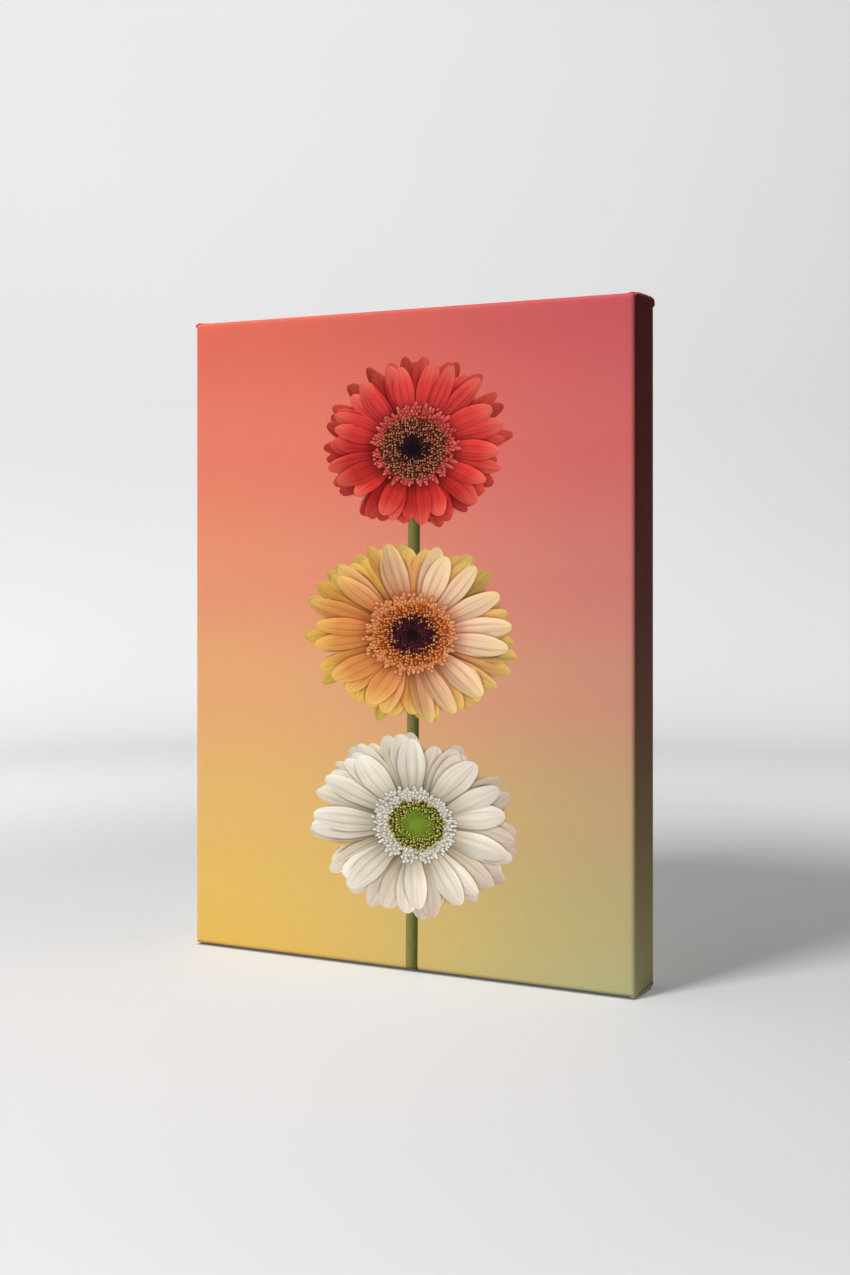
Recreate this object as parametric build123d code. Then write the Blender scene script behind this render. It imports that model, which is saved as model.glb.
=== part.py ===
from build123d import *
import math
import os

# Stretched canvas, 12 x 16 in, on keyed stretcher bars 1.25 in deep.
#
# Frame: +Z is up, the painted face looks along -Y, +X is to the right of someone facing it.
# The origin is on the floor, at the centre of the bounding box.
#
# Four bars meet in mitred corners. Inside each mitre two tongues cross: the level bar's tongue fills the
# front one of two slots, the upright bar's tongue the back one. Each slot is left open towards the window
# as a tapered gap, and a thin wooden key sits in each gap. Tapping a key in pushes its two bars apart.
# The cloth is one sheet: over the front, round the sides, and stapled to the back of the bars.

# ---- driving dimensions, millimetres ----
FRAME_WIDTH = 304.8
FRAME_HEIGHT = 406.4
BAR_DEPTH = 31.0
BAR_WIDTH = 38.0
CLOTH = 0.5

BEAD_WIDTH = 7.0          # flat outer strip of a bar's front, the only wood that the cloth touches
BEVEL_DROP = 3.8          # how far the bar's front falls away towards the window
BEAD_ROUND = 2.3
INNER_ROUND = 2.0
BACK_ROUND = 1.0

FLAP_WIDTH = 24.0         # cloth turned over onto the back
FOLD_STACK = 1.4          # extra cloth layers on the top and bottom edges at each corner
BACK_STACK = 1.0          # extra cloth layers on the back at each corner
CLOTH_FRONT_ROUND = 2.8
CLOTH_BACK_ROUND = 1.2
CLOTH_CORNER_ROUND = 1.6
CAVITY_ROUND = 2.0
PLEAT_START = 6.0         # width of a corner's folded triangle at the front edge

SLOT = 5.5                # depth of each of the two slots inside a corner
TONGUE_SHORT = 0.4        # a tongue ends this far inside the frame's outer face
KEY_PLAY = 0.2            # play of a key between the slot's two cheeks
KEY_FIT = 0.05            # play of a key between the two edges that it wedges apart
GAP_OUTER = 1.8           # width of a key's gap at the outer face
GAP_INNER = 7.4           # width of a key's gap where it opens into the window
KEY_TIP = 5.0             # distance from the outer face to the key's tip
KEY_HEAD = 11.0           # how far a key's head stands into the window
KEY_CHAMFER = 3.0         # on the corner of the head
KEY_NOSE = 1.2            # length of the blunt point at the tip

STAPLE_CROWN = 10.0
STAPLE_WIRE_WIDTH = 1.2
STAPLE_WIRE = 0.6
STAPLE_LEG = 7.0
STAPLE_INSET = 12.5       # distance of the staple line from the outer face
STAPLES_LEVEL = 6
STAPLES_UPRIGHT = 9
STAPLE_SPAN_MARGIN = 34.0  # distance of the first staple of a row from the frame's corner
STAPLE_LEAN = 7.0         # degrees by which hand-driven staples lean at most
STAPLE_LEAN_STEP = 2.4    # radians of the lean's sine from one staple to the next
STAPLE_LEAN_START = 0.7
CORNER_STAPLE_INSET = 17.5

STRAP_WIDTH = 9.5
STRAP_PLY = 0.7
STRAP_LENGTH = 19.5       # from the hinge axis to the strap's rounded end
STRAP_END_ROUND = 4.5
STRAP_HOLE_RADIUS = 1.9
SCREW_DROP = 14.2         # from the hinge axis down to the screw
HANGER_DROP = 101.6       # from the frame's top to the hinge axis
RING_WIRE_RADIUS = 1.0
RING_PLAY = 0.07
RING_WIDTH = 15.0         # between wire centres
RING_HEIGHT = 11.6        # from the hinge axis to the far wire's centre
RING_CORNER = 2.2
RING_REST_TILT = 16.0     # degrees from straight down at which the ring rests on the screw head

SCREW_HEAD_RADIUS = 3.5
SCREW_HEAD_HEIGHT = 2.2
SCREW_HEAD_RIM = 0.7
SCREW_CROWN_RADIUS = 1.6  # flat middle of the head
SCREW_DOME_RADIUS = 2.9   # a point on the head's curve, and how far it lies below the flat
SCREW_DOME_DROP = 0.65
SCREW_SHANK_RADIUS = 1.5
SCREW_LENGTH = 13.0
SCREW_POINT = 3.5
RECESS_SPAN = 3.6
RECESS_WIDTH = 0.8
RECESS_DEPTH = 1.4

BUMPER_RADIUS = 5.0
BUMPER_TOP_RADIUS = 3.6
BUMPER_HEIGHT = 3.0
BUMPER_ROUND = 0.8
BUMPER_INSET = 8.5        # from each outer face of the frame to the bumper's centre

OVERCUT = 1.0             # how far a cut reaches past the solid it is taken from

# ---- derived places ----
HALF_W = FRAME_WIDTH / 2
HALF_H = FRAME_HEIGHT / 2
HALF_D = BAR_DEPTH / 2
INNER_X = HALF_W - BAR_WIDTH
INNER_Z = HALF_H - BAR_WIDTH
WOOD_BACK = HALF_D
CLOTH_FRONT = -HALF_D - CLOTH
CLOTH_BACK = HALF_D + CLOTH
STACK_BACK = CLOTH_BACK + BACK_STACK
OUTER_X = HALF_W + CLOTH
OUTER_Z = HALF_H + CLOTH

LOOP_INNER = RING_WIRE_RADIUS + RING_PLAY
LOOP_OUTER = LOOP_INNER + STRAP_PLY
HANGER_X = INNER_X + (BAR_WIDTH - FLAP_WIDTH) / 2
HANGER_Z = HALF_H - HANGER_DROP
HINGE_Y = WOOD_BACK + LOOP_OUTER
RING_BACK = HINGE_Y + RING_HEIGHT * math.sin(math.radians(RING_REST_TILT)) + RING_WIRE_RADIUS
STRAP_BACK = WOOD_BACK + 2 * STRAP_PLY

# The model is built around the frame's centre, then moved so that it stands on z = 0 and its bounding
# box, from the painted face to the back of the hanging rings, is centred on y = 0.
SHIFT = Pos(0, -(CLOTH_FRONT + RING_BACK) / 2, OUTER_Z + FOLD_STACK)

LEFT, RIGHT = -1, 1
BOTTOM, TOP = -1, 1
SIDES = {"left": LEFT, "right": RIGHT}
ENDS = {"bottom": BOTTOM, "top": TOP}


def save(shape, name):
    """Writes one node, moved from the frame's centre to its place in the part's own frame."""
    export_step(SHIFT * shape, f"parts/{name}.step")


def plate_xz(points, y_low, y_high):
    """A flat plate: an outline in x and z, between two depths."""
    outline = Polyline(*[(x, y_low, z) for x, z in points], close=True)
    return extrude(make_face(outline), amount=y_high - y_low, dir=(0, 1, 0))


def slab(x_low, x_high, y_low, y_high, z_low, z_high):
    size = Box(x_high - x_low, y_high - y_low, z_high - z_low)
    return Pos((x_low + x_high) / 2, (y_low + y_high) / 2, (z_low + z_high) / 2) * size


def gap_width(from_outer):
    """Width of a key's tapered gap at a distance from the frame's outer face."""
    return GAP_OUTER + (GAP_INNER - GAP_OUTER) * from_outer / BAR_WIDTH


# ---- stretcher bars ----

def bar_profile():
    """The bar's section as (distance inwards from the outer face, depth), with its rounded long edges."""
    front = -HALF_D
    inner_front = front + BEVEL_DROP
    with BuildSketch() as section:
        with BuildLine():
            Polyline(
                (0, HALF_D),
                (0, front),
                (BEAD_WIDTH, front),
                (BAR_WIDTH, inner_front),
                (BAR_WIDTH, HALF_D),
                close=True,
            )
        make_face()
        by_place = {(round(v.X, 3), round(v.Y, 3)): v for v in section.vertices()}
        fillet(by_place[(0, round(front, 3))], BEAD_ROUND)
        fillet(section.vertices().sort_by_distance((BAR_WIDTH, inner_front, 0))[0], INNER_ROUND)
        fillet(section.vertices().sort_by_distance((BAR_WIDTH, HALF_D, 0))[0], BACK_ROUND)
        fillet(section.vertices().sort_by_distance((0, HALF_D, 0))[0], BACK_ROUND)
    return section.sketch


def bar_blank(length, outward, along):
    """A full-length bar with square ends. outward points away from the window."""
    origin = Vector(outward) * (HALF_H if along == (1, 0, 0) else HALF_W) - Vector(along) * (length / 2)
    inward = Vector(outward) * -1
    place = Plane(origin=origin, x_dir=inward, z_dir=inward.cross(Vector(0, 1, 0)))
    return extrude(place * bar_profile(), amount=length, dir=along)


def level_corner_waste(side):
    """What is cut from one end of the top bar: the mitre's cheeks, the back slot and the tongue's end."""
    edge = side * HALF_W
    cheek = [(edge, HALF_H + OVERCUT), (edge, INNER_Z), (side * INNER_X, INNER_Z)]
    cheek.append((side * (INNER_X - OVERCUT), INNER_Z - OVERCUT))
    cheek.append((side * (HALF_W + OVERCUT), INNER_Z - OVERCUT))
    cheek.append((side * (HALF_W + OVERCUT), HALF_H + OVERCUT))
    shoulder = [
        (side * (HALF_W + OVERCUT), HALF_H),
        (side * (HALF_W + OVERCUT), INNER_Z),
        (side * (INNER_X - GAP_INNER), INNER_Z),
        (side * (INNER_X - GAP_OUTER), HALF_H),
    ]
    front = plate_xz(mitre_half(side, level=True), -HALF_D - OVERCUT, -SLOT)
    back = plate_xz(mitre_half(side, level=True), SLOT, HALF_D + OVERCUT)
    slot = plate_xz(shoulder, 0, SLOT)
    tongue_end = slab(*sorted((side * (HALF_W - TONGUE_SHORT), side * (HALF_W + OVERCUT))),
                      -SLOT, 0, INNER_Z, HALF_H)
    return front + back + slot + tongue_end


def mitre_half(side, level):
    """The triangle of the top corner's square that a level bar loses, or that an upright bar loses."""
    inner = (side * INNER_X, INNER_Z)
    outer = (side * HALF_W, HALF_H)
    lost = (side * HALF_W, INNER_Z) if level else (side * INNER_X, HALF_H)
    return [inner, lost, outer]


def upright_corner_waste(end):
    """What is cut from one end of the right bar: the mitre's cheeks, front slot and the tongue's end."""
    shoulder = [
        (HALF_W, HALF_H + OVERCUT),
        (INNER_X, HALF_H + OVERCUT),
        (INNER_X, INNER_Z - GAP_INNER),
        (HALF_W, INNER_Z - GAP_OUTER),
    ]
    front = plate_xz(mitre_half(RIGHT, level=False), -HALF_D - OVERCUT, -SLOT)
    back = plate_xz(mitre_half(RIGHT, level=False), SLOT, HALF_D + OVERCUT)
    slot = plate_xz(shoulder, -SLOT, 0)
    tongue_end = slab(INNER_X, HALF_W, 0, SLOT, HALF_H - TONGUE_SHORT, HALF_H + OVERCUT)
    waste = front + back + slot + tongue_end
    return waste if end == TOP else mirror(waste, about=Plane.XY)


def make_bars():
    top = bar_blank(FRAME_WIDTH, (0, 0, 1), (1, 0, 0))
    top -= level_corner_waste(LEFT) + level_corner_waste(RIGHT)
    right = bar_blank(FRAME_HEIGHT, (1, 0, 0), (0, 0, 1))
    right -= upright_corner_waste(TOP) + upright_corner_waste(BOTTOM)
    save(top, "stretcher_bar_top")
    save(mirror(top, about=Plane.XY), "stretcher_bar_bottom")
    save(right, "stretcher_bar_right")
    save(mirror(right, about=Plane.YZ), "stretcher_bar_left")


# ---- corner keys ----

def key_outline():
    """A key as (distance from the outer face, distance from its straight edge)."""
    head = BAR_WIDTH + KEY_HEAD
    return [
        (KEY_TIP, KEY_FIT),
        (head - KEY_CHAMFER, KEY_FIT),
        (head, KEY_FIT + KEY_CHAMFER),
        (head, gap_width(head) - KEY_FIT),
        (KEY_TIP + KEY_NOSE, gap_width(KEY_TIP + KEY_NOSE) - KEY_FIT),
        (KEY_TIP, gap_width(KEY_TIP) - KEY_FIT - KEY_NOSE / 2),
    ]


def make_keys():
    """Two keys in each corner: one lies along the level bar, one along the upright bar, behind it."""
    for end_name, end in ENDS.items():
        for side_name, side in SIDES.items():
            level = [(side * (HALF_W - a), end * (INNER_Z - b)) for a, b in key_outline()]
            upright = [(side * (INNER_X - b), end * (HALF_H - a)) for a, b in key_outline()]
            level_key = plate_xz(level, -SLOT + KEY_PLAY, -KEY_PLAY)
            upright_key = plate_xz(upright, KEY_PLAY, SLOT - KEY_PLAY)
            save(level_key, f"corner_key_{end_name}_{side_name}_level")
            save(upright_key, f"corner_key_{end_name}_{side_name}_upright")


# ---- canvas ----

def rounded_box(half_x, half_z, y_front, y_back, front_round, back_round, corner_round):
    """A box with all its edges rounded: the four short edges first, then the front and back outlines."""
    body = slab(-half_x, half_x, y_front, y_back, -half_z, half_z)
    body = fillet(body.edges().filter_by(Axis.Y), corner_round)
    front_face = body.faces().sort_by(Axis.Y)[0]
    body = fillet(front_face.edges(), front_round)
    back_face = body.faces().sort_by(Axis.Y)[-1]
    return fillet(back_face.edges(), back_round)


def fold_stacks():
    """The pleat folded flat at each corner: a triangle on the top and bottom edge, a square on the back."""
    stacks = []
    for side in SIDES.values():
        for end in ENDS.values():
            reach = OUTER_X - CLOTH_CORNER_ROUND
            front = CLOTH_FRONT + CLOTH_FRONT_ROUND
            back = CLOTH_BACK - CLOTH_BACK_ROUND
            outline = Polyline(
                (side * reach, front, end * OUTER_Z),
                (side * (reach - PLEAT_START), front, end * OUTER_Z),
                (side * (reach - BAR_DEPTH), back, end * OUTER_Z),
                (side * reach, back, end * OUTER_Z),
                close=True,
            )
            pleat = extrude(make_face(outline), amount=FOLD_STACK, dir=(0, 0, end))
            sunk = extrude(make_face(outline), amount=CLOTH / 2, dir=(0, 0, -end))
            x_low, x_high = sorted((side * (HALF_W - FLAP_WIDTH), side * (HALF_W - BACK_ROUND)))
            z_low, z_high = sorted((end * (HALF_H - FLAP_WIDTH), end * (HALF_H - BACK_ROUND)))
            square = slab(x_low, x_high, CLOTH_BACK - CLOTH / 2, STACK_BACK, z_low, z_high)
            stacks += [pleat + sunk, square]
    return stacks


def make_canvas():
    cloth = rounded_box(OUTER_X, OUTER_Z, CLOTH_FRONT, CLOTH_BACK,
                        CLOTH_FRONT_ROUND, CLOTH_BACK_ROUND, CLOTH_CORNER_ROUND)
    cavity = slab(-HALF_W, HALF_W, -HALF_D, HALF_D, -HALF_H, HALF_H)
    cavity = fillet(cavity.faces().sort_by(Axis.Y)[0].edges(), CAVITY_ROUND)
    window_x = HALF_W - FLAP_WIDTH
    window_z = HALF_H - FLAP_WIDTH
    opening = slab(-window_x, window_x, 0, STACK_BACK, -window_z, window_z)
    cloth -= cavity
    for stack in fold_stacks():
        cloth += stack
    cloth -= opening
    save(cloth, "canvas_sheet")


# ---- staples ----

def staple():
    """One staple, its crown along X on the plane y = 0 and its two legs driven towards -Y."""
    half = STAPLE_CROWN / 2
    thick = STAPLE_WIRE_WIDTH / 2
    outer = slab(-half, half, -STAPLE_LEG, STAPLE_WIRE, -thick, thick)
    outer = fillet(outer.edges().filter_by(Axis.Z).group_by(Axis.Y)[-1], STAPLE_WIRE)
    inner_half = half - STAPLE_WIRE
    return outer - slab(-inner_half, inner_half, -STAPLE_LEG - OVERCUT, 0, -OVERCUT, OVERCUT)


def spaced(count, half_length):
    """Places of a row of staples, evenly spaced between its two end staples."""
    reach = half_length - STAPLE_SPAN_MARGIN
    return [-reach + 2 * reach * i / (count - 1) for i in range(count)]


def lean(index):
    """The small, uneven lean of a staple driven by hand."""
    return STAPLE_LEAN * math.sin(STAPLE_LEAN_STEP * index + STAPLE_LEAN_START)


def make_staples():
    """One group of staples along each bar. The two end staples of a level bar hold the folded corners."""
    for end_name, end in ENDS.items():
        group = []
        for i, x in enumerate(spaced(STAPLES_LEVEL, HALF_W)):
            place = Pos(x, CLOTH_BACK, end * (HALF_H - STAPLE_INSET)) * Rot(0, lean(i), 0)
            group.append(place * staple())
        for side in SIDES.values():
            corner = Pos(side * (HALF_W - CORNER_STAPLE_INSET), STACK_BACK,
                         end * (HALF_H - CORNER_STAPLE_INSET))
            group.append(corner * Rot(0, side * end * 45, 0) * staple())
        save(Compound(group), f"staples_{end_name}")
    for side_name, side in SIDES.items():
        group = []
        for i, z in enumerate(spaced(STAPLES_UPRIGHT, HALF_H)):
            place = Pos(side * (HALF_W - STAPLE_INSET), CLOTH_BACK, z) * Rot(0, 90 + lean(i + side), 0)
            group.append(place * staple())
        save(Compound(group), f"staples_{side_name}")


# ---- hanging rings ----

def hanger_strap():
    """A steel strip folded round the ring's straight side and doubled down to a screw hole."""
    half = STRAP_WIDTH / 2
    plies = slab(-half, half, WOOD_BACK, STRAP_BACK, -STRAP_LENGTH, 0)
    plies = fillet(plies.edges().filter_by(Axis.Y).group_by(Axis.Z)[0], STRAP_END_ROUND)
    loop = Pos(0, HINGE_Y, 0) * Rot(0, 90, 0) * Cylinder(LOOP_OUTER, STRAP_WIDTH)
    bore = Pos(0, HINGE_Y, 0) * Rot(0, 90, 0) * Cylinder(LOOP_INNER, STRAP_WIDTH + 2 * OVERCUT)
    drill = Cylinder(STRAP_HOLE_RADIUS, 4 * (STRAP_PLY + OVERCUT))
    hole = Pos(0, WOOD_BACK, -SCREW_DROP) * Rot(90, 0, 0) * drill
    return plies + loop - bore - hole


def hanger_ring():
    """A D of round wire that hangs from its straight side and leans on the screw head."""
    half = RING_WIDTH / 2
    bow_centre = RING_HEIGHT - half
    corner = RING_CORNER
    path = Wire([
        Line((-half + corner, 0, 0), (half - corner, 0, 0)),
        corner_arc((half - corner, 0, -corner), corner, 0),
        Line((half, 0, -corner), (half, 0, -bow_centre)),
        corner_arc((0, 0, -bow_centre), half, -90),
        corner_arc((0, 0, -bow_centre), half, -180),
        Line((-half, 0, -bow_centre), (-half, 0, -corner)),
        corner_arc((-half + corner, 0, -corner), corner, 90),
    ])
    section = Plane(origin=(0, 0, 0), z_dir=(1, 0, 0)) * Circle(RING_WIRE_RADIUS)
    ring = sweep(section, path=path)
    return Pos(0, HINGE_Y, 0) * Rot(RING_REST_TILT, 0, 0) * ring


def corner_arc(centre, radius, start):
    """A quarter circle in x and z, from the angle start (degrees from +X towards +Z) to start + 90."""
    points = []
    for angle in (start, start + 45, start + 90):
        a = math.radians(angle)
        points.append((centre[0] + radius * math.cos(a), 0, centre[2] + radius * math.sin(a)))
    return ThreePointArc(*points)


def hanger_screw():
    """A pan-head wood screw through the strap, its point in the bar."""
    seat = STRAP_BACK
    top = seat + SCREW_HEAD_HEIGHT
    tip = seat - SCREW_LENGTH
    with BuildSketch(Plane.XY) as half_section:
        with BuildLine():
            Line((0, top), (SCREW_CROWN_RADIUS, top))
            ThreePointArc((SCREW_CROWN_RADIUS, top),
                          (SCREW_DOME_RADIUS, top - SCREW_DOME_DROP),
                          (SCREW_HEAD_RADIUS, seat + SCREW_HEAD_RIM))
            Polyline((SCREW_HEAD_RADIUS, seat + SCREW_HEAD_RIM),
                     (SCREW_HEAD_RADIUS, seat),
                     (SCREW_SHANK_RADIUS, seat),
                     (SCREW_SHANK_RADIUS, tip + SCREW_POINT),
                     (0, tip),
                     (0, top))
        make_face()
    screw = revolve(half_section.sketch, axis=Axis.Y)
    for turn in (0, 90):
        cutter = Box(RECESS_SPAN, RECESS_DEPTH * 2, RECESS_WIDTH)
        screw -= Pos(0, top, 0) * Rot(0, turn, 0) * cutter
    return Pos(0, 0, -SCREW_DROP) * screw


def make_hangers():
    for side_name, side in SIDES.items():
        place = Pos(side * HANGER_X, 0, HANGER_Z)
        save(place * hanger_strap(), f"hanger_strap_{side_name}")
        save(place * hanger_ring(), f"hanger_ring_{side_name}")
        save(place * hanger_screw(), f"hanger_screw_{side_name}")


# ---- wall bumpers ----

def make_bumpers():
    """Soft stick-on feet on the back's two lower corners, which keep the part off the wall."""
    for side_name, side in SIDES.items():
        foot = Cone(BUMPER_RADIUS, BUMPER_TOP_RADIUS, BUMPER_HEIGHT)
        foot = fillet(foot.edges().sort_by(Axis.Z)[-1], BUMPER_ROUND)
        middle = STACK_BACK + BUMPER_HEIGHT / 2
        place = Pos(side * (HALF_W - BUMPER_INSET), middle, -HALF_H + BUMPER_INSET)
        save(place * Rot(-90, 0, 0) * foot, f"wall_bumper_{side_name}")


def main():
    os.makedirs("parts", exist_ok=True)
    make_bars()
    make_keys()
    make_canvas()
    make_staples()
    make_hangers()
    make_bumpers()


main()
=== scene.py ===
import math
import random

import bpy
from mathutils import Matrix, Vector


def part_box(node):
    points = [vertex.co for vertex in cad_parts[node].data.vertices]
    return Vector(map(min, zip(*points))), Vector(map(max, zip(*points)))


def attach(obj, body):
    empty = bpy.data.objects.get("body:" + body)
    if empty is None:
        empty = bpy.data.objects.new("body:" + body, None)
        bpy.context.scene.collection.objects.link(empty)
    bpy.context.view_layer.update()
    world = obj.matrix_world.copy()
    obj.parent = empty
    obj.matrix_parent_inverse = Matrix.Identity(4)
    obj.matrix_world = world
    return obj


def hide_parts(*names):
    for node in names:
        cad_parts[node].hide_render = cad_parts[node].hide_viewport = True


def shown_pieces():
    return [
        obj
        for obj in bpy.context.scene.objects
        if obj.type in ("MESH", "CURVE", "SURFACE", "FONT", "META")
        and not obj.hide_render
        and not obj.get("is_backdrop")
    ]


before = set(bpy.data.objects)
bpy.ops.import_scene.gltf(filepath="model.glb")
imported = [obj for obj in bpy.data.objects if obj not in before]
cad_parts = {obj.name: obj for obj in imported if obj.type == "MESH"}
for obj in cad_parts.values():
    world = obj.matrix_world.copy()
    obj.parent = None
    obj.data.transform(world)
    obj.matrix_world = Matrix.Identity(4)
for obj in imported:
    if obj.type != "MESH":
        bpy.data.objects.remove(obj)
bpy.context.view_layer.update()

ROOT = "stretched_frame"
QUARTER = math.pi / 2

# The cloth, in metres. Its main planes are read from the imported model.
cloth_low, cloth_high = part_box("canvas_sheet")
CLOTH = 0.0005  # thickness of the cloth
FOLD = 0.0014  # stack of the folded corner on the top and bottom edges
BACK_STACK = 0.0010  # stack of the folded corner on the back
FLAP = 0.0245  # width turned over onto the back
FRONT_ROUND = 0.0028  # radius round the front edges
BACK_ROUND = 0.0012  # radius round the back edges
CORNER_ROUND = 0.0018  # radius round the upright corners
X_OUT = cloth_high.x
Z_LOW, Z_HIGH = cloth_low.z + FOLD, cloth_high.z - FOLD
Z_MID = (Z_LOW + Z_HIGH) / 2
Z_OUT = (Z_HIGH - Z_LOW) / 2
Y_FRONT = cloth_low.y
Y_BACK = cloth_high.y - BACK_STACK
DEPTH = Y_BACK - Y_FRONT


def smooth_step(x, low, high):
    t = min(max((x - low) / (high - low), 0.0), 1.0)
    return t * t * (3 - 2 * t)


def linear(r, g, b):
    """A colour given as 0 to 255 screen values, as the linear RGBA that sockets take."""
    def one(c):
        c /= 255
        return c / 12.92 if c <= 0.04045 else ((c + 0.055) / 1.055) ** 2.4
    return (one(r), one(g), one(b), 1.0)


def placed(name, data):
    made = bpy.data.objects.new(name, data)
    bpy.context.scene.collection.objects.link(made)
    return made


def smooth_mesh(name, verts, faces):
    mesh = bpy.data.meshes.new(name)
    mesh.from_pydata(verts, [], faces)
    mesh.polygons.foreach_set("use_smooth", [True] * len(mesh.polygons))
    return mesh


# ---- Node arithmetic: each call adds nodes to one tree and returns a value that the next can take ----
# In every function, g is the graph that it adds its nodes to.

class Val:
    """An output socket that can be added, multiplied and so on."""

    def __init__(self, graph, socket):
        self.graph, self.socket = graph, socket

    def __add__(self, other):
        return self.graph.math("ADD", self, other)

    def __sub__(self, other):
        return self.graph.math("SUBTRACT", self, other)

    def __rsub__(self, other):
        return self.graph.math("SUBTRACT", other, self)

    def __mul__(self, other):
        return self.graph.math("MULTIPLY", self, other)

    def __truediv__(self, other):
        return self.graph.math("DIVIDE", self, other)

    def __abs__(self):
        return self.graph.math("ABSOLUTE", self)

    __radd__, __rmul__ = __add__, __mul__


class Graph:
    def __init__(self, tree):
        self.tree = tree

    def node(self, kind, inputs=None, **settings):
        made = self.tree.nodes.new(kind)
        for name, value in settings.items():
            setattr(made, name, value)
        for name, value in (inputs or {}).items():
            self.feed(made.inputs[name], value)
        return made

    def feed(self, socket, value):
        if isinstance(value, (Val, bpy.types.NodeSocket)):
            self.tree.links.new(getattr(value, "socket", value), socket)
        else:
            socket.default_value = value

    def out(self, node, name=0):
        return Val(self, node.outputs[name])

    def math(self, operation, *values):
        node = self.node("ShaderNodeMath", operation=operation)
        for socket, value in zip(node.inputs, values):
            self.feed(socket, value)
        return self.out(node)

    def mix(self, factor, a, b, blend="MIX"):
        """a where factor is 0 and b where it is 1. The node's colour inputs are its 6th and 7th."""
        node = self.node("ShaderNodeMix", data_type="RGBA", blend_type=blend)
        for index, value in ((0, factor), (6, a), (7, b)):
            self.feed(node.inputs[index], value)
        return self.out(node, 2)

    def vector(self, x=0.0, y=0.0, z=0.0):
        return self.out(self.node("ShaderNodeCombineXYZ", {"X": x, "Y": y, "Z": z}))

    def split(self, vector):
        node = self.node("ShaderNodeSeparateXYZ", {"Vector": vector})
        return [self.out(node, i) for i in range(3)]

    def object_place(self):
        return self.split(self.out(self.node("ShaderNodeTexCoord"), "Object"))

    def cloth_place(self):
        """The place on the unfolded sheet, in metres from its centre."""
        return self.split(self.out(self.node("ShaderNodeUVMap", uv_map="cloth")))[:2]

    def scaled(self, colour, amount):
        """A colour times one number."""
        grey = self.node("ShaderNodeCombineColor", {"Red": amount, "Green": amount, "Blue": amount})
        return self.mix(1.0, colour, self.out(grey), blend="MULTIPLY")


def smooth(value, low, high):
    """0 below low, 1 above high, smooth between. low may be the larger one."""
    node = value.graph.node("ShaderNodeMapRange", interpolation_type="SMOOTHSTEP")
    for name, given in zip(("Value", "From Min", "From Max"), (value, low, high)):
        value.graph.feed(node.inputs[name], given)
    return value.graph.out(node)


def noise(x, y, z, scale, detail=2.0, rough=0.5):
    """Smooth noise about 0.5 at a place."""
    g = x.graph
    return g.out(g.node("ShaderNodeTexNoise", {
        "Vector": g.vector(x, y, z), "Scale": scale, "Detail": detail, "Roughness": rough}))


def most(a, b):
    return a.graph.math("MAXIMUM", a, b)


def least(a, b):
    return a.graph.math("MINIMUM", a, b)


def length(x, y):
    return x.graph.math("SQRT", x * x + y * y)


def new_group(name, inputs, outputs):
    """An empty shader group. Its sockets' names are given in two strings, with * before a colour's name."""
    tree = bpy.data.node_groups.new(name, "ShaderNodeTree")
    for in_out, labels in (("INPUT", inputs), ("OUTPUT", outputs)):
        for label in labels.split():
            kind = "NodeSocketColor" if label[0] == "*" else "NodeSocketFloat"
            tree.interface.new_socket(label.strip("*"), in_out=in_out, socket_type=kind)
    g = Graph(tree)
    entry, exit_node = g.node("NodeGroupInput"), g.node("NodeGroupOutput")
    return g, [g.out(entry, label.strip("*")) for label in inputs.split()], exit_node


def use_group(g, tree, **values):
    node = g.node("ShaderNodeGroup", node_tree=tree)
    for name, value in values.items():
        g.feed(node.inputs[name], value)
    return {socket.name: Val(g, socket) for socket in node.outputs}


def new_material(name, specular=0.5):
    """A material with one shader, and the graph that feeds it."""
    material = bpy.data.materials.new(name)
    material.use_nodes = True
    material.node_tree.nodes.clear()
    g = Graph(material.node_tree)
    shader = g.node("ShaderNodeBsdfPrincipled")
    g.node("ShaderNodeOutputMaterial", {"Surface": shader.outputs["BSDF"]})
    shader.inputs["Specular IOR Level"].default_value = specular
    return material, g, shader


def coat(g, shader, colour, rough, height=None, depth=0.0, strength=1.0):
    """Feeds a shader's colour and roughness and, where a height is given, its bump of that depth."""
    g.feed(shader.inputs["Base Color"], colour)
    g.feed(shader.inputs["Roughness"], rough)
    if height is not None:
        bump = g.node("ShaderNodeBump", {"Height": height, "Distance": depth, "Strength": strength})
        g.feed(shader.inputs["Normal"], g.out(bump))


# ---- The print: three round flowers on one stem over a warm gradient, all worked out by rule ----

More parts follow.
